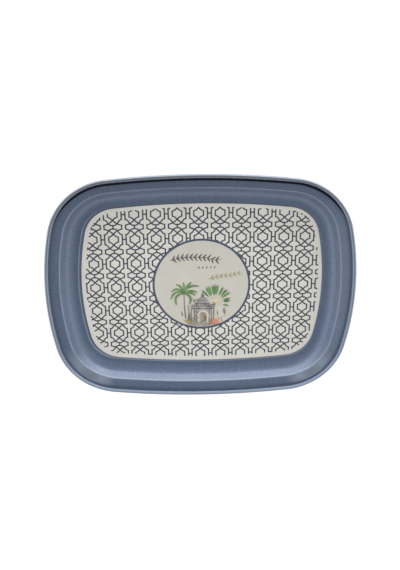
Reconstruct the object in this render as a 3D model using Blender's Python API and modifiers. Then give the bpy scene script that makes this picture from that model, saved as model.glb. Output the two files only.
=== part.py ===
"""Pressed steel serving tray: a one-piece pan with a wired rim, and a printed panel bonded in its base.

Units are metres, +Z is up, +X runs along the long side, and the origin is on the ground under the tray's middle.
Every ring of the tray is parallel to its outermost line, so a place on the section is an inset from that line
and a height above the ground.
"""

from math import acos, atan2, cos, hypot, pi, radians, sin, tan

import bmesh
import bpy

# Outermost line of the rim, made of four shallow side arcs and four corner arcs.
OVERALL_LENGTH = 0.380
OVERALL_WIDTH = 0.293
SHORT_SIDE_RADIUS = 0.360
LONG_SIDE_RADIUS = 1.066
CORNER_RADIUS = 0.0806
STEPS_SHORT_SIDE = 3
STEPS_LONG_SIDE = 4
STEPS_CORNER = 12

# Section of the pressed sheet, along its upper face.
SHEET = 0.0005
RECESS_INSET = 0.0386
RECESS_SLOPE_RUN = 0.0006
BORDER_HEIGHT = 0.0010
WALL_ANGLE = radians(58)
WALL_FOOT_RADIUS = 0.0165
CREASE_INSET = 0.0175
CREASE_HEIGHT = 0.0158
CREASE_RADIUS = 0.0010
FLANGE_OUTER_HEIGHT = 0.0170

# Bead at the rim, and the wire inside it. The sheet turns back at the neck, so that the bead overhangs the flange,
# and goes over the top and down the outside to the end of the curl. Angles are measured round the bead.
BEAD_RADIUS = 0.0024
BEAD_HEIGHT = 0.0201
NECK_ANGLE = radians(225)
NECK_RADIUS = 0.0008
CURL_END = radians(-90)
WIRE_RADIUS = 0.0015

# Printed panel, which stands a little above the border round it and lies a little off the middle of the recess.
PANEL_INSET = 0.0408
PANEL_SHIFT = (0.0018, -0.0001)
PANEL_GAP = 0.0003
PANEL_THICKNESS = 0.0005

PAN_COLOUR = (0.098, 0.130, 0.195, 1.0)
PANEL_COLOUR = (0.62, 0.62, 0.58, 1.0)
WIRE_COLOUR = (0.45, 0.45, 0.47, 1.0)


def clear_scene():
    for old in list(bpy.data.objects):
        bpy.data.objects.remove(old, do_unlink=True)


def new_material(name, colour, roughness, metallic):
    material = bpy.data.materials.new(name)
    material.use_nodes = True
    shader = material.node_tree.nodes["Principled BSDF"]
    shader.inputs["Base Color"].default_value = colour
    shader.inputs["Roughness"].default_value = roughness
    shader.inputs["Metallic"].default_value = metallic
    return material


def arc(centre, radius, start, end, steps):
    """Points of an arc from the angle start to the angle end, both ends included."""
    angles = [start + (end - start) * i / steps for i in range(steps + 1)]
    return [(centre[0] + radius * cos(a), centre[1] + radius * sin(a)) for a in angles]


def corner_centre(short_centre, long_centre):
    """The point where a corner arc touches both side arcs from the inside."""
    to_short = SHORT_SIDE_RADIUS - CORNER_RADIUS
    to_long = LONG_SIDE_RADIUS - CORNER_RADIUS
    span_x = long_centre[0] - short_centre[0]
    span_y = long_centre[1] - short_centre[1]
    span = hypot(span_x, span_y)
    swing = acos((to_short**2 + span**2 - to_long**2) / (2 * to_short * span))
    angle = atan2(span_y, span_x) + swing
    return (short_centre[0] + to_short * cos(angle), short_centre[1] + to_short * sin(angle))


def outline(inset):
    """The tray's outline, moved inwards by inset, as points that run anticlockwise from the +X side."""
    short_centre = (OVERALL_LENGTH / 2 - SHORT_SIDE_RADIUS, 0.0)
    long_centre = (0.0, OVERALL_WIDTH / 2 - LONG_SIDE_RADIUS)
    corner = corner_centre(short_centre, long_centre)
    leaves_short = atan2(corner[1] - short_centre[1], corner[0] - short_centre[0])
    joins_long = atan2(corner[1] - long_centre[1], corner[0] - long_centre[0])
    quarter = arc(short_centre, SHORT_SIDE_RADIUS - inset, 0, leaves_short, STEPS_SHORT_SIDE)
    quarter += arc(corner, CORNER_RADIUS - inset, leaves_short, joins_long, STEPS_CORNER)[1:]
    quarter += arc(long_centre, LONG_SIDE_RADIUS - inset, joins_long, pi / 2, STEPS_LONG_SIDE)[1:]
    half = quarter + [(-x, y) for x, y in reversed(quarter[:-1])]
    return half + [(-x, -y) for x, y in half[1:-1]]


def fillet(corner, before, after, radius, steps):
    """The arc that rounds a corner of the section between the directions before and after, in radians."""
    turn = after - before
    reach = radius * tan(abs(turn) / 2)
    side = 1 if turn > 0 else -1
    start = (corner[0] - reach * cos(before), corner[1] - reach * sin(before))
    centre = (start[0] - side * radius * sin(before), start[1] + side * radius * cos(before))
    return arc(centre, radius, before - side * pi / 2, after - side * pi / 2, steps)


def neck_corner(flange_slope, neck_way):
    """Where the flange's line meets the line that touches the bead at the neck."""
    x = -BEAD_RADIUS + BEAD_RADIUS * cos(NECK_ANGLE)
    height = BEAD_HEIGHT + BEAD_RADIUS * sin(NECK_ANGLE)
    above_flange = height - CREASE_HEIGHT - (x + CREASE_INSET) * flange_slope
    back = above_flange / (sin(neck_way) - flange_slope * cos(neck_way))
    return (x - back * cos(neck_way), height - back * sin(neck_way))


def section():
    """The sheet's upper face from the panel recess out to the end of the curl, as (-inset, height) points."""
    wall_rise = CREASE_HEIGHT - BORDER_HEIGHT
    arc_rise = WALL_FOOT_RADIUS * (1 - cos(WALL_ANGLE))
    wall_run = WALL_FOOT_RADIUS * sin(WALL_ANGLE) + (wall_rise - arc_rise) / tan(WALL_ANGLE)
    foot_centre = (-CREASE_INSET - wall_run, BORDER_HEIGHT + WALL_FOOT_RADIUS)
    crease = (-CREASE_INSET, CREASE_HEIGHT)
    flange_angle = atan2(FLANGE_OUTER_HEIGHT - CREASE_HEIGHT, CREASE_INSET - 2 * BEAD_RADIUS)
    neck_way = NECK_ANGLE - pi / 2
    neck = neck_corner(tan(flange_angle), neck_way)
    points = [(-RECESS_INSET - RECESS_SLOPE_RUN, SHEET), (-RECESS_INSET, BORDER_HEIGHT)]
    points += arc(foot_centre, WALL_FOOT_RADIUS, -pi / 2, WALL_ANGLE - pi / 2, 6)
    points += fillet(crease, WALL_ANGLE, flange_angle, CREASE_RADIUS, 2)
    points += fillet(neck, flange_angle, neck_way, NECK_RADIUS, 3)
    points += arc((-BEAD_RADIUS, BEAD_HEIGHT), BEAD_RADIUS, NECK_ANGLE, CURL_END, 14)
    return points


def poly_curve(name, points, closed, dimensions):
    curve = bpy.data.curves.new(name, "CURVE")
    curve.dimensions = dimensions
    curve.twist_mode = "Z_UP"
    spline = curve.splines.new("POLY")
    spline.points.add(len(points) - 1)
    for place, point in zip(spline.points, points):
        place.co = (*point, 1.0)
    spline.use_cyclic_u = closed
    return curve


def ring_path(name, inset, height):
    """A closed curve parallel to the outermost line."""
    return poly_curve(name, [(x, y, height) for x, y in outline(inset)], True, "3D")


def add_object(name, data, collection, material):
    added = bpy.data.objects.new(name, data)
    data.materials.append(material)
    collection.objects.link(added)
    return added


def as_mesh(curve_object):
    """The curve's own mesh, which stands in for the curve in the same place."""
    graph = bpy.context.evaluated_depsgraph_get()
    return bpy.data.meshes.new_from_object(curve_object.evaluated_get(graph))


def swept_surface(collection):
    """The section carried round the outermost line, as an open surface without the base."""
    profile = bpy.data.objects.new(
        "pan_section", poly_curve("pan_section", [(x, y, 0.0) for x, y in section()], False, "2D")
    )
    path = bpy.data.objects.new("pan_sweep", ring_path("pan_sweep", 0.0, 0.0))
    for guide in (profile, path):
        collection.objects.link(guide)
    path.data.bevel_mode = "OBJECT"
    path.data.bevel_object = profile
    bpy.context.view_layer.update()
    mesh = as_mesh(path)
    for guide in (profile, path):
        bpy.data.objects.remove(guide, do_unlink=True)
    return mesh


def close_base(mesh):
    """Fills the recess's floor and turns the faces to the dish's side."""
    shape = bmesh.new()
    shape.from_mesh(mesh)
    bmesh.ops.remove_doubles(shape, verts=shape.verts, dist=1e-6)
    floor_edges = [
        edge for edge in shape.edges if edge.is_boundary and max(v.co.z for v in edge.verts) < BORDER_HEIGHT
    ]
    floor = bmesh.ops.contextual_create(shape, geom=floor_edges)["faces"][0]
    bmesh.ops.recalc_face_normals(shape, faces=shape.faces)
    if floor.normal.z < 0:
        bmesh.ops.reverse_faces(shape, faces=shape.faces)
    shape.to_mesh(mesh)
    shape.free()


def make_pan(collection):
    material = new_material("pan_paint", PAN_COLOUR, roughness=0.42, metallic=0.35)
    mesh = swept_surface(collection)
    close_base(mesh)
    mesh.shade_smooth()
    mesh.set_sharp_from_angle(angle=radians(40))
    pan = add_object("tray_pan", mesh, collection, material)
    wall = pan.modifiers.new("sheet", "SOLIDIFY")
    wall.thickness = SHEET
    wall.offset = -1.0
    wall.use_even_offset = True
    return pan


def make_wire(collection):
    material = new_material("wire_steel", WIRE_COLOUR, roughness=0.35, metallic=1.0)
    curve = ring_path("rim_wire", BEAD_RADIUS, BEAD_HEIGHT)
    curve.bevel_depth = WIRE_RADIUS
    curve.bevel_resolution = 2
    return add_object("rim_wire", curve, collection, material)


def make_panel(collection):
    material = new_material("panel_print", PANEL_COLOUR, roughness=0.4, metallic=0.0)
    points = [(x, y, 0.0) for x, y in outline(PANEL_INSET)]
    curve = poly_curve("printed_panel", points, True, "2D")
    curve.fill_mode = "BOTH"
    curve.extrude = PANEL_THICKNESS / 2
    panel = add_object("printed_panel", curve, collection, material)
    panel.location = (*PANEL_SHIFT, SHEET + PANEL_GAP + PANEL_THICKNESS / 2)
    return panel


def main():
    clear_scene()
    collection = bpy.data.collections.new("serving_tray")
    bpy.context.scene.collection.children.link(collection)
    make_pan(collection)
    make_wire(collection)
    make_panel(collection)


main()
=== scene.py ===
"""Looks of the serving tray: a satin metallic pan with a crimped bead rim, and a cream panel with a printed
lattice and a round picture of palms and a garden pavilion.

Metres, +Z up, in the frame of the CAD model. Rings of the tray are parallel to the rim's outermost line, so
a place on the section is an inset from that line and a height. Printed shapes are thin solids on the panel,
laid out in a plane whose origin is the middle of the round picture.
"""

from math import acos, atan2, cos, hypot, pi, radians, sin, tan
from random import Random

import bpy
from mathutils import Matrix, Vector


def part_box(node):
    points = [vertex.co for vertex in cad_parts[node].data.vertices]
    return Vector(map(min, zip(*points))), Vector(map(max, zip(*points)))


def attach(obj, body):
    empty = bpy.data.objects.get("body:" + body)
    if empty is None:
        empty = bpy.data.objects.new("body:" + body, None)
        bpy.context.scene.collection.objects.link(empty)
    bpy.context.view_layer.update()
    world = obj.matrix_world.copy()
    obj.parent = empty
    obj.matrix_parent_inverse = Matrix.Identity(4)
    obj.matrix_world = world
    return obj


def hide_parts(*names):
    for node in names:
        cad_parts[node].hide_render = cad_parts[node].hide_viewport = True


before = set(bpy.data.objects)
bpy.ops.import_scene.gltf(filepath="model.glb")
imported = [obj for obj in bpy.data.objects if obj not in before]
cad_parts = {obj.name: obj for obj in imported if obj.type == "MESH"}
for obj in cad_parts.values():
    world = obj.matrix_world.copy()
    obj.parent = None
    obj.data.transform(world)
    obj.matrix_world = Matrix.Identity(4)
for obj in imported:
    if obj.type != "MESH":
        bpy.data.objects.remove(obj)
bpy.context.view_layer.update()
PAN_LOW, PAN_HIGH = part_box("tray_pan")
PANEL_LOW, PANEL_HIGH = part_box("printed_panel")

MM = 0.001

# Outline and section of the pan, as in the CAD model.
HALF_LENGTH = PAN_HIGH[0]
HALF_WIDTH = PAN_HIGH[1]
SHORT_SIDE_RADIUS = 360 * MM
LONG_SIDE_RADIUS = 1066 * MM
CORNER_RADIUS = 80.6 * MM
SHEET = 0.5 * MM
BEAD_RADIUS = 2.4 * MM
BEAD_HEIGHT = PAN_HIGH[2] - BEAD_RADIUS
BORDER_HEIGHT = 1.0 * MM
RECESS_INSET = 38.6 * MM
RECESS_RUN = 0.6 * MM
WALL_ANGLE = radians(58)
WALL_FOOT_RADIUS = 16.5 * MM
CREASE_INSET = 17.5 * MM
CREASE_HEIGHT = 15.8 * MM
CREASE_RADIUS = 1.2 * MM
FLANGE_OUTER_HEIGHT = 17.0 * MM
NECK_ANGLE = radians(225)
NECK_RADIUS = 0.8 * MM
CURL_END = radians(-90)

# Rings that the CAD model doesn't have: beside each bend, on the flange, and just inside each flat middle.
EDGE = 1.2 * MM
RISE_END = 0.6
# The flange ring where the painted shade by the groove begins.
FLANGE_SHADE_INSET = 8.5 * MM
FLOOR_RING = 1.5 * MM
PANEL_RING = 1.0 * MM

# Steps round a quarter of the outline, on the short side, the corner and the long side. The bead has FINER
# times as many.
STEPS = (8, 60, 12)
FINER = 4
CURL_STEPS = 28
STEP_RADIUS = 0.35 * MM
# How much lighter, up to 1, or darker, down to -1, the paint is painted on each stretch of the section: all
# round, more at the back, more at the front, and more on the front corners and the right side. Apart from a
# lighter line all round the crease, this is painted light and shade: painted shade at the back, with the
# bead's painted shadow on the flange there, and painted shade by the groove all round; painted highlight on
# the recess step's edge, at the front, on the front corners and on the right side.
PAINTED_LIGHT_AND_TONE = {
    "step": (0.25, -0.25, 0.3, 0.0),
    "border": (0.0, -0.1, 0.0, 0.35),
    "crease": (0.28, 0.0, 0.0, 0.0),
    "rise": (0.0, -0.15, 0.0, 0.58),
    "flange": (-0.02, -0.35, 0.0, 0.60),
    "by_neck": (-0.2, -0.75, 0.0, 0.60),
    "neck": (-0.35, -0.65, 0.0, 0.0),
}
# Painted highlight on the front corners and on the right side, before each stretch's limit in the table
# above.
HIGHLIGHT_FRONT_CORNERS = 1.4
HIGHLIGHT_RIGHT_SIDE = 0.28
# Painted highlight on top of the bead at the front and at the back, how far it leans from the top towards the
# back, where the light comes from, and how fast it falls off.
BEAD_HIGHLIGHT_FRONT = 0.5
BEAD_HIGHLIGHT_BACK = 1.0
BEAD_HIGHLIGHT_LEAN = radians(15)
BEAD_HIGHLIGHT_FALLOFF = 3
# Painted shadow in the groove, a thin near-black shape: places across it from the flange's side to the
# bead's, and how far each is off the sheet. The last lies under the sheet's face and closes the shape.
GROOVE_SHADOW_SECTION = [(-1.0, 0.02 * MM), (-0.5, 0.05 * MM), (0.0, 0.08 * MM), (0.3, 0.06 * MM), (0.6, 0.05 * MM),
                 (0.8, 0.04 * MM), (1.0, 0.02 * MM), (0.0, -0.2 * MM)]
# How far it reaches down the flange and up the bead, how far a place must face the back for it to widen and
# to be full, and its least share of the full width.
GROOVE_SHADOW_DOWN = 4.9 * MM
GROOVE_SHADOW_UP = 5.2 * MM
GROOVE_SHADOW_FROM = 0.1
GROOVE_SHADOW_FULL = 0.95
GROOVE_SHADOW_LEAST = 0.1
# Crimp ridges on the bead's corners: how far their spacing wanders, over how many ridges, and how soon they
# are full in a corner.
CRIMP_PITCH = 2.7 * MM
CRIMP_DEPTH = 0.04 * MM
CRIMP_TWIST = 1.6
CRIMP_WANDER = 0.3
CRIMP_WANDER_SPAN = 6.3
CRIMP_ONSET = 2.2

PANEL_X = (PANEL_LOW[0] + PANEL_HIGH[0]) / 2
PANEL_Y = (PANEL_LOW[1] + PANEL_HIGH[1]) / 2
PANEL_INSET = HALF_LENGTH - (PANEL_HIGH[0] - PANEL_LOW[0]) / 2
PANEL_TOP = PANEL_HIGH[2]
PANEL_EDGE_RADIUS = 0.15 * MM

# The middle of the round picture on the tray, and the print's slight turn.
ART_X = 1.0 * MM
ART_Y = 0.2 * MM
ART_TURN = radians(0.5)

# Lattice: columns and rows of linked barrels and hexagons, in cells of PITCH_X by PITCH_Y.
PITCH_X = 25.85 * MM
PITCH_Y = 31.59 * MM
LATTICE_X = -2.45 * MM
LATTICE_Y = -1.5 * MM
# The lattice ends this far inside the panel's edge, in an area moved a little on the panel.
LATTICE_MARGIN = 5.2 * MM
LATTICE_AREA_SHIFT = (0.4 * MM, 0.8 * MM)
LATTICE_LINE = 1.65 * MM
LINE_STEP = 0.8 * MM
# One strand from a hexagon's corner to a barrel's side, and a quarter of a barrel's arch, in cells from the
# hexagon.
STRAND = [(-0.222, 0.099), (-0.103, 0.142), (0.0, 0.225), (0.095, 0.297), (0.194, 0.358), (0.30, 0.395),
          (0.412, 0.425)]
ARCH = [(-0.412, 0.197), (-0.345, 0.214), (-0.278, 0.270), (-0.202, 0.360), (-0.105, 0.420), (0.0, 0.4365)]

RING_RADIUS = 59.6 * MM
RING_LINE = 2.6 * MM

# The picture's places are in millimetres of the art plane.
PRINT_STEP = 0.0005 * MM
FEATHER_CROWN = (-22.0, -11.5)
# Tips of the feather palm's fronds from its crown, and how far each arches to its left, in shares of its
# length.
FRONDS = [(-15.5, 3, -0.55), (-9.5, 13, -0.25), (-11, 6.5, -0.2), (-0.5, 15, -0.05), (9.5, 15, 0.2),
          (18.5, 9.5, 0.45), (16, 1.5, 0.3), (14, -2.5, 0.3), (-16, -6.5, -0.6), (-10, -14, -0.6),
          (7, -14, 0.55)]
FAN_HEART = (16.0, -25.0)
# Direction and reach of each of the fan palm's leaves.
FAN_LEAVES = [(131, 25), (116, 25.5), (107, 26), (95, 26), (88, 26.5), (79, 26), (62, 25.5), (48, 25.5),
              (36, 25.5), (17, 21.5), (7, 21), (-14, 19.5)]
FAN_OPEN = 11.5

# Noise scales, in features per metre: of gloss on print, wire and dirt, and of the print's tooth.
GLOSS_SCALE = 900
TOOTH_SCALE = 1200

# The camera's lens in millimetres, its place, and its turn in degrees, from a least-squares fit, rounded.
CAMERA_LENS = 49.0
CAMERA_PLACE = (-0.0228, 0.3811, 0.8890)
CAMERA_TURN = (-23.235, -1.48, -0.144)
FLOOR_SIZE = 6.0
FLOOR_GLOW = 0.45
WORLD_LIGHT = 0.045
# The strengths in GLOWS and the powers in LOW_STRIPS weren't chosen by eye. They are the solution of a
# least-squares fit, scaled and rounded.
# Direction and elevation of each glow of the room, in degrees, and its strength.
GLOWS = [(0, 12, 1.55), (45, 12, 0.26), (90, 12, 0.40), (135, 12, 2.02), (180, 12, 1.47), (225, 12, 1.31),
         (270, 12, 1.04), (315, 12, 1.09), (180, 33, 0.15), (0, 62, 0.70), (180, 62, 0.18)]
GLOW_SHARPNESS = 8.0
# Direction of each low strip light, in degrees, and its power in watts.
LOW_STRIPS = [(30, 3.5), (60, 6.5), (90, 4.6), (120, 3.3), (150, 1.15)]
STRIP_AWAY = 1.25
STRIP_HEIGHT = 0.20
STRIP_SIZE = (0.66, 0.30)


# ---------------------------------------------------------------- meshes

class Solids:
    """Collects closed shapes into one mesh."""

    def __init__(self):
        self.points = []
        self.faces = []

    def ring(self, points):
        first = len(self.points)
        self.points += points
        return list(range(first, first + len(points)))

    def bridge(self, lower, upper, closed=True):
        """Quads between two rings of the same length. They face right of the way from lower to upper."""
        count = len(lower)
        for i in range(count if closed else count - 1):
            j = (i + 1) % count
            self.faces.append((lower[i], lower[j], upper[j], upper[i]))

    def prism(self, outline, low, high):
        """A flat shape from low to high. The outline runs anticlockwise."""
        bottom = self.ring([(x, y, low) for x, y in outline])
        top = self.ring([(x, y, high) for x, y in outline])
        self.bridge(bottom, top)
        self.faces.append(tuple(top))
        self.faces.append(tuple(reversed(bottom)))

    def band(self, line, half_widths, low, high, closed=False):
        """A flat strip along a line, with a half width at each of its points."""
        left, right = [], []
        for (x, y), (nx, ny), half in zip(line, normals(line, closed), half_widths):
            left.append((x + nx * half, y + ny * half))
            right.append((x - nx * half, y - ny * half))
        rings = [self.ring([(x, y, z) for x, y in side]) for side, z in
                 ((right, low), (left, low), (left, high), (right, high))]
        for a, b in zip(rings, rings[1:] + rings[:1]):
            self.bridge(b, a, closed)
        if not closed:
            self.faces.append(tuple(r[0] for r in rings))
            self.faces.append(tuple(r[-1] for r in reversed(rings)))

    def build(self, name, material, smooth=False):
        mesh = bpy.data.meshes.new(name)
        mesh.from_pydata(self.points, [], self.faces)
        mesh.validate()
        mesh.shade_smooth() if smooth else mesh.shade_flat()
        mesh.materials.append(material)
        built = bpy.data.objects.new(name, mesh)
        bpy.context.scene.collection.objects.link(built)
        return built


def normals(line, closed):
    """The mitred left-hand normal at each point of a line."""
    count = len(line)
    found = []
    for i in range(count):
        before = line[i - 1] if i or closed else line[0]
        after = line[(i + 1) % count] if i < count - 1 or closed else line[-1]
        here = line[i]
        ahead = Vector((after[0] - here[0], after[1] - here[1]))
        behind = Vector((here[0] - before[0], here[1] - before[1]))
        ahead = ahead.normalized() if ahead.length else behind.normalized()
        behind = behind.normalized() if behind.length else ahead
        along = (ahead + behind).normalized()
        mitre = 1 / max(along.dot(ahead), 0.5)
        found.append((-along.y * mitre, along.x * mitre))
    return found


def smooth_line(knots, steps):
    """A Catmull-Rom curve through the knots."""
    padded = [knots[0], *knots, knots[-1]]
    line = [knots[0]]
    for a, b, c, d in zip(padded, padded[1:], padded[2:], padded[3:]):
        for i in range(1, steps + 1):
            t = i / steps
            weights = (-t + 2 * t**2 - t**3, 2 - 5 * t**2 + 3 * t**3, t + 4 * t**2 - 3 * t**3, t**3 - t**2)
            line.append(tuple(sum(w * p[k] for w, p in zip(weights, (a, b, c, d))) / 2 for k in (0, 1)))
    return line


def arc(centre, radius, start, end, steps):
    angles = [start + (end - start) * i / steps for i in range(steps + 1)]
    return [(centre[0] + radius * cos(a), centre[1] + radius * sin(a)) for a in angles]


def fillet(corner, before, after, radius, steps):
    """The arc that rounds a corner between the directions before and after."""
    turn = after - before
    reach = radius * tan(abs(turn) / 2)
    side = 1 if turn > 0 else -1
    start = (corner[0] - reach * cos(before), corner[1] - reach * sin(before))
    centre = (start[0] - side * radius * sin(before), start[1] + side * radius * cos(before))
    return arc(centre, radius, before - side * pi / 2, after - side * pi / 2, steps)


# ---------------------------------------------------------------- the tray's outline

SHORT_CENTRE = (HALF_LENGTH - SHORT_SIDE_RADIUS, 0.0)
LONG_CENTRE = (0.0, HALF_WIDTH - LONG_SIDE_RADIUS)


def corner_centre():
    """The point where a corner arc touches both side arcs from the inside."""
    to_short = SHORT_SIDE_RADIUS - CORNER_RADIUS
    to_long = LONG_SIDE_RADIUS - CORNER_RADIUS
    span_x = LONG_CENTRE[0] - SHORT_CENTRE[0]
    span_y = LONG_CENTRE[1] - SHORT_CENTRE[1]
    span = hypot(span_x, span_y)
    swing = acos((to_short**2 + span**2 - to_long**2) / (2 * to_short * span))
    angle = atan2(span_y, span_x) + swing
    return (SHORT_CENTRE[0] + to_short * cos(angle), SHORT_CENTRE[1] + to_short * sin(angle))


CORNER = corner_centre()
LEAVES_SHORT = atan2(CORNER[1] - SHORT_CENTRE[1], CORNER[0] - SHORT_CENTRE[0])
JOINS_LONG = atan2(CORNER[1] - LONG_CENTRE[1], CORNER[0] - LONG_CENTRE[0])


def rim_stations(finer=1):
    """Stations round the outermost line, anticlockwise from +X.

    Each is x, y, outward normal x and y, and how far into a corner it is, from 0 to 1 at the middle.
    """
    quarter = []
    runs = (
        (SHORT_CENTRE, SHORT_SIDE_RADIUS, 0.0, LEAVES_SHORT, STEPS[0] * finer, False),
        (CORNER, CORNER_RADIUS, LEAVES_SHORT, JOINS_LONG, STEPS[1] * finer, True),
        (LONG_CENTRE, LONG_SIDE_RADIUS, JOINS_LONG, pi / 2, STEPS[2] * finer, False),
    )
    for centre, radius, start, end, steps, is_corner in runs:
        for i in range(steps):
            share = i / steps
            a = start + (end - start) * share
            place = (centre[0] + radius * cos(a), centre[1] + radius * sin(a))
            quarter.append((*place, cos(a), sin(a), sin(pi * share) if is_corner else 0.0))
    top = (0.0, HALF_WIDTH, 0.0, 1.0, 0.0)
    half = quarter + [top] + [(-x, y, -nx, ny, c) for x, y, nx, ny, c in reversed(quarter)]
    return half[:-1] + [(-x, -y, -nx, -ny, c) for x, y, nx, ny, c in half[:-1]]


def depth_inside(x, y):
    """How far a point lies inside the outermost line."""
    x, y = abs(x), abs(y)
    angle = atan2(y - CORNER[1], x - CORNER[0])
    if LEAVES_SHORT < angle < JOINS_LONG:
        return CORNER_RADIUS - hypot(x - CORNER[0], y - CORNER[1])
    short = SHORT_SIDE_RADIUS - hypot(x - SHORT_CENTRE[0], y - SHORT_CENTRE[1])
    return min(short, LONG_SIDE_RADIUS - hypot(x - LONG_CENTRE[0], y - LONG_CENTRE[1]))


def ring_at(stations, inset, height):
    return [(x - nx * inset, y - ny * inset, height) for x, y, nx, ny, _ in stations]


# ---------------------------------------------------------------- pan

def neck_corner(flange_slope, neck_way):
    """Where the flange's line meets the line that touches the bead at the neck."""
    x = -BEAD_RADIUS + BEAD_RADIUS * cos(NECK_ANGLE)
    height = BEAD_HEIGHT + BEAD_RADIUS * sin(NECK_ANGLE)
    above_flange = height - CREASE_HEIGHT - (x + CREASE_INSET) * flange_slope
    back = above_flange / (sin(neck_way) - flange_slope * cos(neck_way))
    return (x - back * cos(neck_way), height - back * sin(neck_way))


def dish_section():
    """The sheet's upper face from the recess to the neck, as stretches of (-inset, height) points."""
    wall_rise = CREASE_HEIGHT - BORDER_HEIGHT
    arc_rise = WALL_FOOT_RADIUS * (1 - cos(WALL_ANGLE))
    wall_run = WALL_FOOT_RADIUS * sin(WALL_ANGLE) + (wall_rise - arc_rise) / tan(WALL_ANGLE)
    foot_centre = (-CREASE_INSET - wall_run, BORDER_HEIGHT + WALL_FOOT_RADIUS)
    flange_angle = atan2(FLANGE_OUTER_HEIGHT - CREASE_HEIGHT, CREASE_INSET - 2 * BEAD_RADIUS)
    neck_way = NECK_ANGLE - pi / 2
    neck = neck_corner(tan(flange_angle), neck_way)
    step_angle = atan2(BORDER_HEIGHT - SHEET, RECESS_RUN)
    step_foot = (-RECESS_INSET - RECESS_RUN, SHEET)

    def on_flange(inset):
        return (-inset, CREASE_HEIGHT + (CREASE_INSET - inset) * tan(flange_angle))

    def on_wall(inset):
        return (-inset, CREASE_HEIGHT - (inset - CREASE_INSET) * tan(WALL_ANGLE))

    return [
        ("floor", [(step_foot[0] - FLOOR_RING, SHEET)]),
        ("step", fillet(step_foot, 0.0, step_angle, STEP_RADIUS, 3)),
        ("step", fillet((-RECESS_INSET, BORDER_HEIGHT), step_angle, 0.0, STEP_RADIUS, 3)),
        ("border", [(-RECESS_INSET + EDGE / 2, BORDER_HEIGHT)]),
        ("cove", arc(foot_centre, WALL_FOOT_RADIUS, -pi / 2, WALL_ANGLE - pi / 2, 16)),
        ("wall", [on_wall(CREASE_INSET + EDGE)]),
        ("crease", fillet((-CREASE_INSET, CREASE_HEIGHT), WALL_ANGLE, flange_angle, CREASE_RADIUS, 6)),
        ("rise", [on_flange(CREASE_INSET - EDGE), on_flange(CREASE_INSET * RISE_END)]),
        ("flange", [on_flange(FLANGE_SHADE_INSET)]),
        ("by_neck", [on_flange(2 * BEAD_RADIUS + EDGE)]),
        ("neck", fillet(neck, flange_angle, neck_way, NECK_RADIUS, 7)[:-1]),
    ]


def crimp(along, turn, corner):
    """How far the bead stands proud there: slanting ridges in the corners, where the sheet was gathered."""
    wander = CRIMP_WANDER * CRIMP_PITCH * sin(along / (CRIMP_WANDER_SPAN * CRIMP_PITCH))
    wave = sin(2 * pi * (along + wander) / CRIMP_PITCH + CRIMP_TWIST * turn)
    return CRIMP_DEPTH * min(1.0, CRIMP_ONSET * corner) * sin(turn) ** 2 * wave if 0 < turn < pi else 0.0


def along_rim(stations):
    """How far along the outermost line each station lies, and the whole way round."""
    along = [0.0]
    for here, there in zip(stations, stations[1:] + stations[:1]):
        along.append(along[-1] + hypot(there[0] - here[0], there[1] - here[1]))
    return along[:-1], along[-1]


def ring_painted_light(stations, stretch):
    """How much lighter, or below zero darker, one ring of the dish is at each station: mostly painted light
    and shade.
    """
    all_round, shade_back, highlight_front, highlit = PAINTED_LIGHT_AND_TONE.get(stretch, (0.0, 0.0, 0.0, 0.0))
    found = []
    for _, _, nx, ny, corner in stations:
        pale = max(HIGHLIGHT_FRONT_CORNERS * corner * max(0.0, -ny), HIGHLIGHT_RIGHT_SIDE * max(0.0, nx))
        found.append(all_round + shade_back * max(0.0, ny) ** 2 + highlight_front * max(0.0, -ny) ** 2 + highlit * pale)
    return found


def bead_painted_light(stations, angle):
    """The same for one ring of the bead: painted highlight on top, leaning to the back, and painted shade by
    the neck.
    """
    if angle >= pi:
        under = sin(angle - pi) / sin(NECK_ANGLE - pi)
        least, most = PAINTED_LIGHT_AND_TONE["neck"][:2]
        return [under * (least + most * max(0.0, ny) ** 2) for _, _, _, ny, _ in stations]
    found = []
    for _, _, _, ny, _ in stations:
        most = BEAD_HIGHLIGHT_FRONT + (BEAD_HIGHLIGHT_BACK - BEAD_HIGHLIGHT_FRONT) * (1 + ny) / 2
        found.append(most * max(0.0, sin(angle + BEAD_HIGHLIGHT_LEAN * ny)) ** BEAD_HIGHLIGHT_FALLOFF)
    return found


class Sheet(Solids):
    """Rings of a sheet that carry the grain's direction and the painted light and shade of the paint."""

    def __init__(self):
        super().__init__()
        self.flow = []
        self.light_and_tone = []
        self.across = 0.0
        self.last = None

    def add(self, points, along, whole, light_and_tone):
        """One more ring. Its flow lies on a cylinder as long round as the rim, so it has no seam."""
        if self.last:
            self.across += (Vector(points[0]) - Vector(self.last)).length
        self.last = points[0]
        radius = whole / (2 * pi)
        self.flow += [(radius * cos(s / radius), radius * sin(s / radius), self.across) for s in along]
        self.light_and_tone += light_and_tone
        return self.ring(points)

    def build(self, name, material, smooth=False):
        built = super().build(name, material, smooth)
        flow = built.data.attributes.new("flow", "FLOAT_VECTOR", "POINT")
        flow.data.foreach_set("vector", [value for point in self.flow for value in point])
        light_and_tone = built.data.attributes.new("light_and_tone", "FLOAT", "POINT")
        light_and_tone.data.foreach_set("value", self.light_and_tone)
        return built


def bead_ring(stations, along, angle):
    """One ring of the bead, at an angle round it."""
    ring = []
    for (x, y, nx, ny, corner), s in zip(stations, along):
        radius = BEAD_RADIUS + crimp(s, pi - angle, corner)
        inset = BEAD_RADIUS - radius * cos(angle)
        ring.append((x - nx * inset, y - ny * inset, BEAD_HEIGHT + radius * sin(angle)))
    return ring


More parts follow.
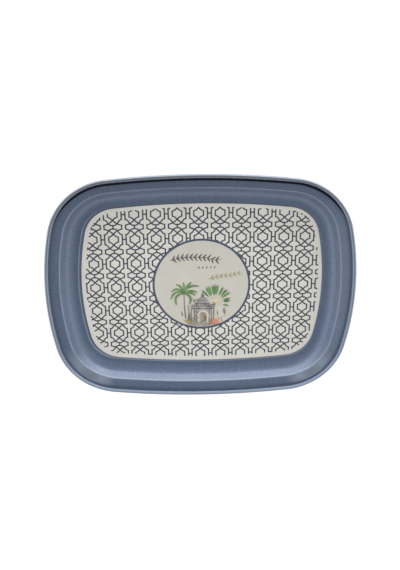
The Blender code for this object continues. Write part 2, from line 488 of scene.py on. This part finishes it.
def make_pan(material):
    """One sheet: recess, border, wall, flange, neck and curl. The curl has FINER times as many stations."""
    sheet = Sheet()
    coarse = rim_stations()
    along, whole = along_rim(coarse)
    rings = []
    for stretch, points in dish_section():
        for x, height in points:
            rings.append(sheet.add(ring_at(coarse, -x, height), along, whole, ring_painted_light(coarse, stretch)))
    sheet.faces.append(tuple(rings[0]))
    for inner, outer in zip(rings, rings[1:]):
        sheet.bridge(outer, inner)
    fine = rim_stations(FINER)
    along, whole = along_rim(fine)
    curl = []
    for k in range(CURL_STEPS + 1):
        angle = NECK_ANGLE + (CURL_END - NECK_ANGLE) * k / CURL_STEPS
        curl.append(sheet.add(bead_ring(fine, along, angle), along, whole, bead_painted_light(fine, angle)))
    for inner, outer in zip(curl, curl[1:]):
        sheet.bridge(outer, inner)
    last, count = rings[-1], len(rings[-1])
    for i in range(count):
        run = [curl[0][(FINER * i + k) % (FINER * count)] for k in range(FINER + 1)]
        sheet.faces.append((last[i], *run, last[(i + 1) % count]))
    pan = sheet.build("pan_sheet", material, smooth=True)
    thickness = pan.modifiers.new("sheet", "SOLIDIFY")
    thickness.thickness = SHEET
    thickness.offset = -1.0
    thickness.use_even_offset = True
    return pan


def walk(line, reach):
    """The point of a line at a distance from its start, and the line's direction there."""
    for (x0, y0), (x1, y1) in zip(line, line[1:]):
        step = hypot(x1 - x0, y1 - y0)
        if reach <= step:
            break
        reach -= step
    way = ((x1 - x0) / step, (y1 - y0) / step)
    return (x0 + way[0] * reach, y0 + way[1] * reach), way


def groove_shadow_share(facing_back):
    """How much of its full width the painted shadow in the groove has: all of it at the back, a trace at the
    front.
    """
    share = min(1.0, max(0.0, (facing_back - GROOVE_SHADOW_FROM) / (GROOVE_SHADOW_FULL - GROOVE_SHADOW_FROM)))
    return GROOVE_SHADOW_LEAST + (1 - GROOVE_SHADOW_LEAST) * share * share * (3 - 2 * share)


def make_groove_shadow(material):
    """Painted shadow in the groove under the bead, a thin near-black crescent that follows the sheet."""
    line = [point for _, points in dish_section()[-4:] for point in points]
    neck = sum(hypot(b[0] - a[0], b[1] - a[1]) for a, b in zip(line, line[1:])) - NECK_RADIUS / 2
    line += arc((-BEAD_RADIUS, BEAD_HEIGHT), BEAD_RADIUS, NECK_ANGLE, pi / 2, CURL_STEPS)
    stations = rim_stations()
    solids = Solids()
    rings = []
    for share, lift in GROOVE_SHADOW_SECTION:
        ring = []
        for x, y, nx, ny, _ in stations:
            reach = share * groove_shadow_share(ny) * (GROOVE_SHADOW_UP if share > 0 else GROOVE_SHADOW_DOWN)
            (along, height), (run, rise) = walk(line, neck + reach)
            inset = -along + rise * lift
            ring.append((x - nx * inset, y - ny * inset, height + run * lift))
        rings.append(solids.ring(ring))
    for inner, outer in zip(rings, rings[1:] + rings[:1]):
        solids.bridge(outer, inner)
    return solids.build("groove_shadow_sheet", material, smooth=True)


# ---------------------------------------------------------------- panel and lattice

def make_panel(material):
    """The printed panel, a thin slab with softened edges."""
    solids = Solids()
    stations = [(x + PANEL_X, y + PANEL_Y, nx, ny, corner) for x, y, nx, ny, corner in rim_stations()]
    section = [(PANEL_INSET, PANEL_LOW[2])]
    centre = (-PANEL_INSET - PANEL_EDGE_RADIUS, PANEL_TOP - PANEL_EDGE_RADIUS)
    section += [(-x, height) for x, height in arc(centre, PANEL_EDGE_RADIUS, 0, pi / 2, 4)]
    section += [(PANEL_INSET + PANEL_RING, PANEL_TOP)]
    rings = [solids.ring(ring_at(stations, inset, height)) for inset, height in section]
    for lower, upper in zip(rings, rings[1:]):
        solids.bridge(lower, upper)
    solids.faces.append(tuple(rings[-1]))
    under = solids.ring(ring_at(stations, PANEL_INSET, PANEL_LOW[2]))
    solids.faces.append(tuple(reversed(under)))
    return solids.build("panel_slab", material, smooth=True)


def strand_column(side):
    """One strand through a cell, from its top edge to its bottom edge, on one side of the hexagon."""
    lower = smooth_line(STRAND, 5)
    upper = [(x, -y) for x, y in reversed(lower)]
    cell = [(0.412, -0.5), *upper, *lower, (0.412, 0.5)]
    return [(side * x, y) for x, y in cell]


def barrel():
    """The closed barrel round a hexagon."""
    left = smooth_line(ARCH, 5)
    arch = left + [(-x, y) for x, y in reversed(left[:-1])]
    return arch + [(-x, -y) for x, y in arch]


def resample(line):
    """The same line with a point at least every LINE_STEP."""
    dense = [line[0]]
    for (x0, y0), (x1, y1) in zip(line, line[1:]):
        pieces = max(1, round(hypot(x1 - x0, y1 - y0) / LINE_STEP))
        dense += [(x0 + (x1 - x0) * i / pieces, y0 + (y1 - y0) * i / pieces) for i in range(1, pieces + 1)]
    return dense


def on_tray(point):
    """A point of the art plane, in metres, as a point of the tray."""
    x, y = point
    return (ART_X + x * cos(ART_TURN) - y * sin(ART_TURN), ART_Y + x * sin(ART_TURN) + y * cos(ART_TURN))


def in_lattice(x, y):
    """Whether the lattice may lie at a point of the art plane: off the panel's edge and the round picture."""
    across, up = on_tray((x, y))
    across -= PANEL_X + LATTICE_AREA_SHIFT[0]
    up -= PANEL_Y + LATTICE_AREA_SHIFT[1]
    return depth_inside(across, up) > PANEL_INSET + LATTICE_MARGIN and hypot(x, y) > RING_RADIUS


def edge_between(inside, outside):
    """Where the way from inside to outside leaves the lattice's area."""
    for _ in range(12):
        middle = ((inside[0] + outside[0]) / 2, (inside[1] + outside[1]) / 2)
        if in_lattice(*middle):
            inside = middle
        else:
            outside = middle
    return inside


def visible_runs(line):
    """The stretches of a line that lie inside the lattice's area."""
    runs, run = [], []
    flags = [in_lattice(*p) for p in line]
    for i, point in enumerate(line):
        if flags[i]:
            if not run and i:
                run = [edge_between(point, line[i - 1])]
            run.append(point)
        elif run:
            runs.append(run + [edge_between(line[i - 1], point)])
            run = []
    return runs + [run] if run else runs


def lattice_lines():
    """(line, height step) of every stroke of the lattice, in the art plane and unclipped."""
    columns, rows = range(-6, 8), range(-4, 5)
    strokes = []
    for i in columns:
        def placed(points, j):
            return [(LATTICE_X + (x + i) * PITCH_X, LATTICE_Y + (y + j) * PITCH_Y) for x, y in points]

        for side, level in ((-1, 0), (1, 1)):
            column = [p for j in rows for p in placed(strand_column(side), j)[1:]]
            strokes.append((column, level))
        for j in rows:
            closed = barrel()
            strokes.append((placed(closed + closed[:2], j), 2))
            strokes.append((placed([(0.412, 0.0), (0.588, 0.0)], j), 3))
            strokes.append((placed([(0.0, 0.4365), (0.0, 0.5635)], j), 3))
    return strokes


def make_lattice(material):
    solids = Solids()
    for line, level in lattice_lines():
        for run in visible_runs(resample(line)):
            if len(run) < 3:
                continue
            high = PANEL_TOP + (0.04 + 0.01 * level) * MM
            solids.band([on_tray(p) for p in run], [LATTICE_LINE / 2] * len(run), PANEL_TOP, high)
    return solids.build("lattice_print", material)


def make_ring(material):
    solids = Solids()
    line = arc((ART_X, ART_Y), RING_RADIUS, 0, 2 * pi, 180)[:-1]
    solids.band(line, [RING_LINE / 2] * len(line), PANEL_TOP, PANEL_TOP + 0.10 * MM, closed=True)
    return solids.build("medallion_ring", material)


# ---------------------------------------------------------------- picture

class Print(Solids):
    """Flat inked shapes, in millimetres of the art plane. Each lies a hair higher than the one before."""

    def __init__(self, height):
        super().__init__()
        self.top = PANEL_TOP + height * MM

    def placed(self, points):
        self.top += PRINT_STEP
        return [on_tray((x * MM, y * MM)) for x, y in points]

    def stroke(self, points, start_width, end_width=None):
        """A line whose width goes from start to end."""
        end_width = start_width if end_width is None else end_width
        last = len(points) - 1
        halves = [(start_width + (end_width - start_width) * i / last) / 2 * MM for i in range(last + 1)]
        self.band(self.placed(points), halves, PANEL_TOP, self.top)

    def patch(self, outline):
        """A filled shape, whichever way its outline runs."""
        placed = self.placed(outline)
        area = sum(x0 * y1 - x1 * y0 for (x0, y0), (x1, y1) in zip(placed, placed[1:] + placed[:1]))
        self.prism(placed if area > 0 else placed[::-1], PANEL_TOP, self.top)

    def disc(self, centre, radius):
        self.patch(arc(centre, radius, 0, 2 * pi, 16)[:-1])

    def blade(self, base, tip, width, bend=0.0, steps=8):
        """A pointed leaf along a bent line."""
        line = bent(base, tip, bend, steps)
        halves = [max(0.05, width / 2 * sin(pi * (i / steps) ** 0.8)) * MM for i in range(steps + 1)]
        self.band(self.placed(line), halves, PANEL_TOP, self.top)


def bent(base, tip, bend, steps):
    """Points from base to tip of a curve pulled to its left by bend, in shares of its length."""
    run, rise = tip[0] - base[0], tip[1] - base[1]
    pull = (base[0] + run / 2 - rise * bend, base[1] + rise / 2 + run * bend)
    line = []
    for i in range(steps + 1):
        t = i / steps
        line.append(tuple((1 - t) ** 2 * base[k] + 2 * t * (1 - t) * pull[k] + t**2 * tip[k] for k in (0, 1)))
    return line


def polar(centre, degrees_round, reach):
    angle = radians(degrees_round)
    return (centre[0] + reach * cos(angle), centre[1] + reach * sin(angle))


def evenly(line, gap):
    """Places at equal gaps along a line, as (x, y, heading)."""
    places = []
    ahead = gap / 2
    for (x0, y0), (x1, y1) in zip(line, line[1:]):
        run = hypot(x1 - x0, y1 - y0)
        while ahead <= run:
            share = ahead / run
            places.append((x0 + (x1 - x0) * share, y0 + (y1 - y0) * share, atan2(y1 - y0, x1 - x0)))
            ahead += gap
        ahead -= run
    return places


def frond(leaves, ribs, tip, bend, draw):
    """A feather-palm frond: a rib with leaflets down both sides, longest in the middle."""
    line = bent(FEATHER_CROWN, tip, bend, 16)
    ribs.stroke(line, 1.1, 0.5)
    places = evenly(line, 0.75)
    for i, (x, y, heading) in enumerate(places[1:], 1):
        reach = (0.9 + 2.0 * sin(pi * (i / len(places)) ** 0.8)) * draw.uniform(0.85, 1.15)
        for side in (-1, 1):
            angle = heading + side * radians(draw.uniform(22, 34))
            leaves.blade((x, y), (x + reach * cos(angle), y + reach * sin(angle) - 0.2), 0.75, 0.12 * side, 4)


def feather_palm(draw):
    leaves, ribs, trunk = Print(0.120), Print(0.105), Print(0.060)
    for across, up, bend in FRONDS:
        frond(leaves, ribs, (FEATHER_CROWN[0] + across, FEATHER_CROWN[1] + up), bend, draw)
    ribs.disc(FEATHER_CROWN, 1.6)
    trunk.stroke(smooth_line([FEATHER_CROWN, (-21.8, -26), (-21.2, -36), (-20.4, -46)], 6), 1.0, 1.9)
    for k in range(16):
        y = -16.0 - 1.85 * k
        x = -21.9 + 0.0016 * (y + 15) ** 2
        trunk.stroke([(x - 0.6 - 0.025 * k, y), (x, y - 0.35), (x + 0.6 + 0.025 * k, y)], 0.3)
    return leaves, ribs, trunk


def fan_palm(draw):
    """Pleated leaves in a fan round a pale open heart. Each is three narrow blades that part at the tip."""
    leaves, heart, trunk = Print(0.120), Print(0.085), Print(0.070)
    for direction, reach in FAN_LEAVES:
        base = polar(FAN_HEART, direction, FAN_OPEN + draw.uniform(-1.5, 0.5))
        for spread in (-3.8, 3.8, 0):
            tip = polar(FAN_HEART, direction + spread, reach - 0.6 * abs(spread) + draw.uniform(-0.6, 0.6))
            leaves.blade(base, tip, 2.0, bend=-0.012 * spread, steps=7)
    for k in range(24):
        direction = -24 + 7.3 * k
        reach = FAN_OPEN + draw.uniform(-3.0, 0.5)
        heart.blade(polar(FAN_HEART, direction, 1.0), polar(FAN_HEART, direction, reach), 0.8, steps=5)
    trunk.stroke(smooth_line([(15.9, -27), (15.3, -34), (15.0, -40), (14.6, -48)], 6), 1.5, 2.2)
    trunk.disc((15.9, -27.5), 1.6)
    for direction in (20, 60, 95, 130, 165):
        trunk.blade((15.9, -27.0), polar((15.9, -27.0), direction, 4.5), 0.7, steps=5)
    return leaves, heart, trunk


def pavilion(draw):
    """A small domed garden pavilion in pale stone, its mouldings, ribs and carving drawn in darker grey."""
    stone, shade, inside, trim = Print(0.040), Print(0.090), Print(0.060), Print(0.075)
    middle = 1.2
    stone.patch([(-10.5, -54), (13.0, -54), (13.0, -32.5), (-10.5, -32.5)])
    stone.patch([(-12.5, -33), (15.0, -33), (15.0, -27), (-12.5, -27)])
    stone.patch(arc((middle, -24.6), 8.2, 0, pi, 20))
    stone.patch([(-8.2, -27), (10.6, -27), (9.4, -24.4), (-7.0, -24.4)])
    for k in range(-3, 4):
        shade.stroke(bent((middle + 2.45 * k, -24.4), (middle, -16.2), -0.07 * k, 6), 0.5, 0.25)
    mouldings = ((-8.4, 10.8, -25.6, 1.4), (-12.7, 15.2, -27.6, 1.0), (-12.2, 14.7, -30.0, 0.7),
                 (-12.7, 15.2, -32.7, 1.3), (-6.2, 8.6, -21.3, 0.6))
    for left, right, y, width in mouldings:
        shade.stroke([(left, y), ((left + right) / 2, y - 0.15), (right, y)], width)
    for k in range(11):
        x = -11.4 + 2.5 * k
        shade.stroke([(x, -28.2), (x + 0.3, -29.8)], 0.8)
    for x in (-9.6, -6.6, 9.4, 12.4):
        shade.stroke([(x, -33), (x, -54)], 0.7)
    for k in range(46):
        x, y = draw.uniform(-11.5, 14), draw.uniform(-36, -23)
        tip = (x + draw.uniform(-1.6, 1.6), y + draw.uniform(-1.2, 1.2))
        shade.blade((x, y), tip, draw.uniform(0.6, 1.1), steps=4)
    for k in range(26):
        x, y = draw.uniform(-10, -4), draw.uniform(-53, -35)
        tip = (x + draw.uniform(-1.2, 1.2), y + draw.uniform(1.0, 2.6))
        shade.blade((x, y), tip, draw.uniform(0.6, 1.1), steps=4)
    shade.stroke([(middle, -16.6), (middle, -9.0)], 1.4, 0.4)
    for y, radius in ((-15.6, 2.1), (-13.2, 1.3)):
        shade.disc((middle, y), radius)
    inside.patch([(-3.6, -53), *arc((middle + 0.4, -42), 5.2, pi, 0, 14), (6.8, -53)])
    arch = arc((middle + 0.4, -42), 5.8, pi, 0, 14)[1:-1]
    trim.stroke([(-4.2, -52), (-4.2, -42), *arch, (7.4, -42), (7.4, -52)], 1.7)
    for k in range(16):
        x, y = draw.uniform(-3.0, 6.0), draw.uniform(-52, -39)
        inside.blade((x, y), (x + draw.uniform(-1.4, 1.4), y + draw.uniform(1, 2)), 0.9, steps=4)
    shade.patch([(2.9, -50.5), *arc((4.3, -44.5), 1.2, pi, 0, 8), (5.2, -50.5)])
    return stone, shade, inside, trim


def garden(draw):
    """Ground wash, grasses, a seed pod and flowers round the foot of the picture."""
    ground, grey, pod, pale = Print(0.030), Print(0.110), Print(0.120), Print(0.050)
    coral, pink, ochre = Print(0.140), Print(0.150), Print(0.130)
    low = arc((0, 0), 58.0, radians(250), radians(293), 16)
    top = smooth_line([(22.6, -52.4), (14, -51.2), (2, -53.0), (-8, -52.4), (-19.9, -54.0)], 5)
    ground.patch(low + top[1:-1])
    for k in range(30):
        x, y = draw.uniform(-17, 19), draw.uniform(-55.5, -52)
        grey.blade((x, y), (x + draw.uniform(1.0, 2.6), y + draw.uniform(-0.5, 0.7)), 0.8, steps=4)
    for k in range(9):
        foot = (-18.5 + 1.25 * k, -53.5 + 0.4 * (k % 3))
        height = draw.uniform(9, 17) if k % 3 else draw.uniform(22, 28)
        tip = (foot[0] + draw.uniform(-3.0, 2.6), foot[1] + height)
        grey.blade(foot, tip, 1.2, bend=draw.uniform(-0.15, 0.15))
    for k in range(6):
        y = -30 - 2.6 * k
        pod.blade((-15.0, y), (-18.6 + 0.3 * k, y + 2.6), 1.1, 0.1, 5)
        grey.blade((-14.6, y), (-11.4 - 0.2 * k, y + 2.6), 1.2, -0.1, 5)
    grey.blade((-23.6, -43), (-25.4, -36), 1.6, 0.1)
    for direction in (75, 105, 50):
        grey.blade((-9.5, -24), polar((-9.5, -24), direction, 6.5), 0.8, 0.1, 5)
    pale.blade((23.2, -43), (22.4, -29.5), 4.2, 0.05)
    grey.blade((20.5, -43), (20.0, -35), 1.3, 0.1)
    grey.blade((26.0, -53), (24.5, -44), 1.0, 0.1)
    pod.blade((29.2, -41), (28.3, -31), 3.4, 0.06)
    pod.stroke(bent((29.2, -41), (27.0, -45.5), 0.1, 5), 0.5, 0.3)
    for k in range(9):
        direction = 38 + 12.5 * k
        ochre.blade((-16.0, -54.0), polar((-16.0, -54.0), direction, draw.uniform(6.5, 10.5)), 1.2, 0.05, 5)
    flowers = (((15.6, -50.6), 9, 4.4, coral), ((11.2, -53.2), 7, 2.7, coral), ((19.8, -52.0), 7, 3.0, coral),
               ((21.0, -46.8), 6, 2.4, pink), ((16.0, -51.2), 6, 2.6, pink), ((18.6, -49.2), 5, 2.0, coral))
    for centre, petals, reach, ink_layer in flowers:
        for k in range(petals):
            turn = 360 * k / petals + draw.uniform(-12, 12)
            ink_layer.blade(polar(centre, turn, 0.5), polar(centre, turn, reach), 0.34 * reach, 0.08, 6)
    return ground, grey, pod, pale, coral, pink, ochre


def leafy_spray(shapes, stem, gap, reach, width, spread):
    """A stem with pairs of leaves along it."""
    for x, y, heading in evenly(stem, gap)[:-1]:
        for side in (-1, 1):
            angle = heading + side * radians(spread)
            shapes.blade((x, y), (x + reach * cos(angle), y + reach * sin(angle)), width, -0.1 * side)


def sprays():
    """Ornament over the picture: a dark laurel spray, a row of small lozenges and a fine olive twig."""
    laurel, lozenges, twig = Print(0.060), Print(0.060), Print(0.060)
    stem = smooth_line([(-38, 33), (-24, 36.5), (-8, 36.8), (8, 35.5), (17, 32.5), (24.5, 33.5)], 8)
    laurel.stroke(stem, 1.1, 0.6)
    leafy_spray(laurel, stem, 5.4, 7.0, 1.9, 50)
    for k in range(5):
        x = -3.0 + 4.9 * k
        lozenges.patch([(x - 1.3, 23), (x, 21.2), (x + 1.3, 23), (x, 24.8)])
    stem = smooth_line([(9, 7.5), (20, 10.5), (34, 12), (44, 14), (51, 15.5)], 8)
    twig.stroke(stem, 1.0, 0.5)
    leafy_spray(twig, stem, 5.6, 5.6, 1.5, 42)
    return laurel, lozenges, twig


def make_picture():
    """Every printed shape inside the ring, as (shapes, name, light ink, dark ink)."""
    draw = Random(11)
    leaves, ribs, trunk = feather_palm(draw)
    fan_leaves, heart, fan_trunk = fan_palm(draw)
    stone, shade, inside, trim = pavilion(draw)
    ground, grey, pod, pale, coral, pink, ochre = garden(draw)
    laurel, lozenges, twig = sprays()
    return [
        (ground, "ground_wash", (0.48, 0.43, 0.38), (0.30, 0.27, 0.25)),
        (stone, "pavilion_stone", (0.53, 0.52, 0.52), (0.30, 0.30, 0.31)),
        (inside, "pavilion_inside", (0.56, 0.48, 0.37), (0.28, 0.23, 0.165)),
        (trim, "pavilion_trim", (0.76, 0.70, 0.58), (0.64, 0.57, 0.47)),
        (shade, "pavilion_lines", (0.21, 0.20, 0.184), (0.095, 0.089, 0.079)),
        (trunk, "feather_palm_trunk", (0.22, 0.20, 0.184), (0.114, 0.108, 0.102)),
        (ribs, "feather_palm_ribs", (0.125, 0.235, 0.085), (0.080, 0.160, 0.056)),
        (leaves, "feather_palm_leaves", (0.225, 0.375, 0.160), (0.120, 0.205, 0.088)),
        (heart, "fan_palm_heart", (0.71, 0.66, 0.48), (0.58, 0.52, 0.34)),
        (fan_trunk, "fan_palm_trunk", (0.39, 0.29, 0.178), (0.25, 0.184, 0.108)),
        (fan_leaves, "fan_palm_leaves", (0.191, 0.34, 0.127), (0.076, 0.159, 0.053)),
        (grey, "grasses", (0.32, 0.31, 0.26), (0.152, 0.152, 0.121)),
        (pod, "seed_pod", (0.46, 0.33, 0.23), (0.28, 0.191, 0.127)),
        (pale, "pale_leaf", (0.69, 0.71, 0.66), (0.58, 0.62, 0.58)),
        (coral, "coral_flowers", (0.78, 0.30, 0.150), (0.50, 0.140, 0.055)),
        (pink, "pink_flower", (0.78, 0.37, 0.33), (0.58, 0.21, 0.20)),
        (ochre, "ochre_grass", (0.46, 0.36, 0.178), (0.25, 0.191, 0.089)),
        (laurel, "laurel_spray", (0.125, 0.125, 0.118), (0.075, 0.075, 0.076)),
        (lozenges, "lozenge_row", (0.25, 0.25, 0.23), (0.165, 0.159, 0.152)),
        (twig, "olive_twig", (0.43, 0.40, 0.25), (0.32, 0.29, 0.171)),
    ]


# ---------------------------------------------------------------- materials

def new_material(name):
    material = bpy.data.materials.new(name)
    material.use_nodes = True
    return material, material.node_tree, material.node_tree.nodes["Principled BSDF"]


def add_node(tree, kind, values=(), **settings):
    made = tree.nodes.new(kind)
    for key, value in settings.items():
        setattr(made, key, value)
    for socket, value in dict(values).items():
        if isinstance(value, bpy.types.NodeSocket):
            tree.links.new(value, made.inputs[socket])
        else:
            made.inputs[socket].default_value = value
    return made


def noise(tree, scale, detail=2.0, roughness=0.5):
    """A noise value in object space, with scale in features per metre."""
    place = add_node(tree, "ShaderNodeTexCoord")
    values = {"Vector": place.outputs["Object"], "Scale": scale, "Detail": detail, "Roughness": roughness}
    return add_node(tree, "ShaderNodeTexNoise", values).outputs["Fac"]


def ramp(tree, value, low, high, start, end):
    """A value or colour that goes from low to high as value goes from start to end."""
    if isinstance(low, (int, float)):
        made = add_node(tree, "ShaderNodeMapRange", {"Value": value, "From Min": start, "From Max": end,
                                                     "To Min": low, "To Max": high})
        return made.outputs["Result"]
    fac = ramp(tree, value, 0.0, 1.0, start, end)
    made = add_node(tree, "ShaderNodeMix", data_type="RGBA")
    tree.links.new(fac, made.inputs["Factor"])
    for socket, colour in (("A", low), ("B", high)):
        found = [s for s in made.inputs if s.name == socket and s.type == "RGBA"][0]
        if isinstance(colour, bpy.types.NodeSocket):
            tree.links.new(colour, found)
        else:
            found.default_value = (*colour, 1.0)
    return [s for s in made.outputs if s.type == "RGBA"][0]


def bump(tree, shader, height, distance, strength=1.0):
    made = add_node(tree, "ShaderNodeBump", {"Height": height, "Distance": distance, "Strength": strength})
    tree.links.new(made.outputs["Normal"], shader.inputs["Normal"])


def pan_paint():
    """Satin metallic paint: streaks drawn out across the rim, fine flakes, faint mottling, painted light and
    shade.
    """
    material, tree, shader = new_material("pan_paint")
    flow = add_node(tree, "ShaderNodeAttribute", attribute_name="flow").outputs["Vector"]
    stretched = {0: flow, 1: (1.0, 1.0, 0.12)}
    drawn = add_node(tree, "ShaderNodeVectorMath", stretched, operation="MULTIPLY").outputs[0]
    streaks = {"Vector": drawn, "Scale": 620, "Detail": 3.0}
    streak = add_node(tree, "ShaderNodeTexNoise", streaks).outputs["Fac"]
    painted_light_value = add_node(tree, "ShaderNodeAttribute", attribute_name="light_and_tone").outputs["Fac"]
    broad = noise(tree, 28, 3.0)
    flake = noise(tree, 950, 2.0)
    tint = noise(tree, 430, 2.0)
    base = ramp(tree, broad, (0.078, 0.118, 0.196), (0.092, 0.136, 0.220), 0.35, 0.65)
    base = ramp(tree, tint, (0.070, 0.124, 0.190), base, 0.36, 0.50)
    base = ramp(tree, tint, base, (0.112, 0.128, 0.228), 0.50, 0.64)
    base = ramp(tree, streak, base, (0.112, 0.155, 0.238), 0.40, 0.80)
    base = ramp(tree, flake, base, (0.165, 0.215, 0.305), 0.53, 0.74)
    # Lighter blue, and grey at the strongest, where highlight and reflection are painted: on the recess step,
    # at the front, on the front corners, on the right side and on top of the bead; lighter too along the
    # crease.
    base = ramp(tree, painted_light_value, base, (0.250, 0.300, 0.385), 0.0, 0.5)
    base = ramp(tree, painted_light_value, base, (0.100, 0.112, 0.120), 0.5, 0.85)
    # Near-black where shade is painted: by the groove all round, and most at the back in the bead's shadow.
    colour = ramp(tree, painted_light_value, (0.018, 0.024, 0.036), base, -1.0, 0.0)
    tree.links.new(colour, shader.inputs["Base Color"])
    tree.links.new(ramp(tree, streak, 0.32, 0.46, 0.3, 0.7), shader.inputs["Roughness"])
    shader.inputs["Metallic"].default_value = 0.15
    shader.inputs["Coat Weight"].default_value = 0.45
    shader.inputs["Coat Roughness"].default_value = 0.3
    bump(tree, shader, streak, 0.03 * MM, 0.5)
    return material


def groove_shadow_paint():
    """Dull near-black paint standing in for the shadow in the groove."""
    material, tree, shader = new_material("groove_shadow_paint")
    colour = ramp(tree, noise(tree, 700, 3.0), (0.002, 0.004, 0.010), (0.006, 0.009, 0.018), 0.35, 0.65)
    tree.links.new(colour, shader.inputs["Base Color"])
    tree.links.new(ramp(tree, noise(tree, GLOSS_SCALE), 0.80, 0.95, 0.3, 0.7), shader.inputs["Roughness"])
    shader.inputs["Specular IOR Level"].default_value = 0.15
    return material


def wire_steel():
    """Bare drawn wire, with fine streaks."""
    material, tree, shader = new_material("wire_steel")
    streak = noise(tree, GLOSS_SCALE, 3.0)
    colour = ramp(tree, streak, (0.30, 0.30, 0.31), (0.52, 0.52, 0.53), 0.3, 0.7)
    tree.links.new(colour, shader.inputs["Base Color"])
    tree.links.new(ramp(tree, streak, 0.28, 0.5, 0.3, 0.7), shader.inputs["Roughness"])
    shader.inputs["Metallic"].default_value = 1.0
    bump(tree, shader, streak, 0.02 * MM, 0.4)
    return material


def panel_print():
    """Satin cream print, a little warmer and darker inside the round picture, with a faint tooth."""
    material, tree, shader = new_material("panel_print")
    place = add_node(tree, "ShaderNodeTexCoord").outputs["Object"]
    ends = {0: place, 1: (ART_X, ART_Y, PANEL_TOP)}
    away = add_node(tree, "ShaderNodeVectorMath", ends, operation="DISTANCE")
    mottle = noise(tree, 45, 4.0)
    field = ramp(tree, mottle, (0.745, 0.73, 0.67), (0.775, 0.76, 0.70), 0.35, 0.65)
    inner = ramp(tree, mottle, (0.62, 0.60, 0.53), (0.65, 0.63, 0.56), 0.35, 0.65)
    colour = ramp(tree, away.outputs["Value"], inner, field, RING_RADIUS - 0.5 * MM, RING_RADIUS)
    tree.links.new(colour, shader.inputs["Base Color"])
    tree.links.new(ramp(tree, noise(tree, GLOSS_SCALE), 0.42, 0.52, 0.3, 0.7), shader.inputs["Roughness"])
    bump(tree, shader, noise(tree, TOOTH_SCALE), 0.01 * MM, 0.4)
    return material


def ink(name, light, dark):
    """Printed colour whose strength drifts between two tones, as watercolour does."""
    material, tree, shader = new_material(name)
    wash = noise(tree, 120, 4.0, 0.6)
    tree.links.new(ramp(tree, wash, dark, light, 0.36, 0.64), shader.inputs["Base Color"])
    tree.links.new(ramp(tree, noise(tree, GLOSS_SCALE), 0.45, 0.55, 0.3, 0.7), shader.inputs["Roughness"])
    bump(tree, shader, noise(tree, TOOTH_SCALE), 0.01 * MM, 0.3)
    return material


def floor_white():
    """White paper, lit a little from below as on a light table."""
    material, tree, shader = new_material("floor_white")
    colour = ramp(tree, noise(tree, 3), (0.90, 0.90, 0.90), (0.92, 0.92, 0.92), 0.3, 0.7)
    tree.links.new(colour, shader.inputs["Base Color"])
    shader.inputs["Roughness"].default_value = 0.8
    shader.inputs["Emission Color"].default_value = (1.0, 1.0, 1.0, 1.0)
    shader.inputs["Emission Strength"].default_value = FLOOR_GLOW
    return material


# ---------------------------------------------------------------- scene

def ride(piece, slot, *replaced):
    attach(piece, "root")
    if replaced:
        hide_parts(*replaced)


def make_floor():
    bpy.ops.mesh.primitive_plane_add(size=FLOOR_SIZE, location=(0, 0, PAN_LOW[2]))
    floor = bpy.context.object
    floor.name = "floor"
    floor.data.materials.append(floor_white())


def add_camera():
    """Looks down on the tray from the picture's top side."""
    data = bpy.data.cameras.new("camera")
    data.lens = CAMERA_LENS
    camera = bpy.data.objects.new("camera", data)
    camera.location = CAMERA_PLACE
    camera.rotation_euler = [radians(turn) for turn in CAMERA_TURN]
    bpy.context.scene.collection.objects.link(camera)
    bpy.context.scene.camera = camera


def add_area(name, location, size, power):
    """A rectangular light aimed at the tray."""
    data = bpy.data.lights.new(name, "AREA")
    data.shape = "RECTANGLE"
    data.size, data.size_y = size
    data.energy = power
    light = bpy.data.objects.new(name, data)
    light.location = location
    light.rotation_euler = (-Vector(location)).to_track_quat("-Z", "Y").to_euler()
    bpy.context.scene.collection.objects.link(light)


def add_lights():
    """Low strips in an arc behind the tray."""
    for direction, power in LOW_STRIPS:
        across, deep = polar((0.0, 0.0), direction, STRIP_AWAY)
        add_area(f"low_strip_{direction}", (across, deep, STRIP_HEIGHT), STRIP_SIZE, power)


def add_world():
    """A dim even room, with soft glows all round."""
    world = bpy.data.worlds.new("studio")
    world.use_nodes = True
    tree = world.node_tree
    way = add_node(tree, "ShaderNodeTexCoord").outputs["Generated"]
    light = add_node(tree, "ShaderNodeValue").outputs[0]
    light.default_value = WORLD_LIGHT
    for direction, elevation, strength in GLOWS:
        level = cos(radians(elevation))
        toward = (*polar((0.0, 0.0), direction, level), sin(radians(elevation)))
        near = add_node(tree, "ShaderNodeVectorMath", {0: way, 1: toward}, operation="DOT_PRODUCT")
        spread = {0: near.outputs["Value"], 1: GLOW_SHARPNESS, 2: -GLOW_SHARPNESS}
        off = add_node(tree, "ShaderNodeMath", spread, operation="MULTIPLY_ADD").outputs[0]
        lobe = add_node(tree, "ShaderNodeMath", {0: off}, operation="EXPONENT").outputs[0]
        added = {0: lobe, 1: strength, 2: light}
        light = add_node(tree, "ShaderNodeMath", added, operation="MULTIPLY_ADD").outputs[0]
    tree.links.new(light, tree.nodes["Background"].inputs["Strength"])
    tree.nodes["Background"].inputs["Color"].default_value = (1.0, 1.0, 1.0, 1.0)
    bpy.context.scene.world = world


def main():
    add_camera()
    add_world()
    add_lights()
    make_floor()
    pan = make_pan(pan_paint())
    ride(pan, "pan_paint", "tray_pan")
    # Near-black shape painted in as the shadow in the groove under the bead.
    ride(make_groove_shadow(groove_shadow_paint()), "pan_paint")
    panel = make_panel(panel_print())
    ride(panel, "panel_print", "printed_panel")
    lattice = make_lattice(ink("lattice_ink", (0.046, 0.060, 0.102), (0.027, 0.037, 0.070)))
    ride(lattice, "panel_print")
    ring = make_ring(ink("ring_ink", (0.080, 0.106, 0.165), (0.057, 0.078, 0.128)))
    ride(ring, "panel_print")
    for shapes, name, light, dark in make_picture():
        ride(shapes.build(name, ink(name + "_ink", light, dark)), "panel_print")
    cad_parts["rim_wire"].data.materials.clear()
    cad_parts["rim_wire"].data.materials.append(wire_steel())
    bpy.context.scene.view_settings.view_transform = "Standard"


main()
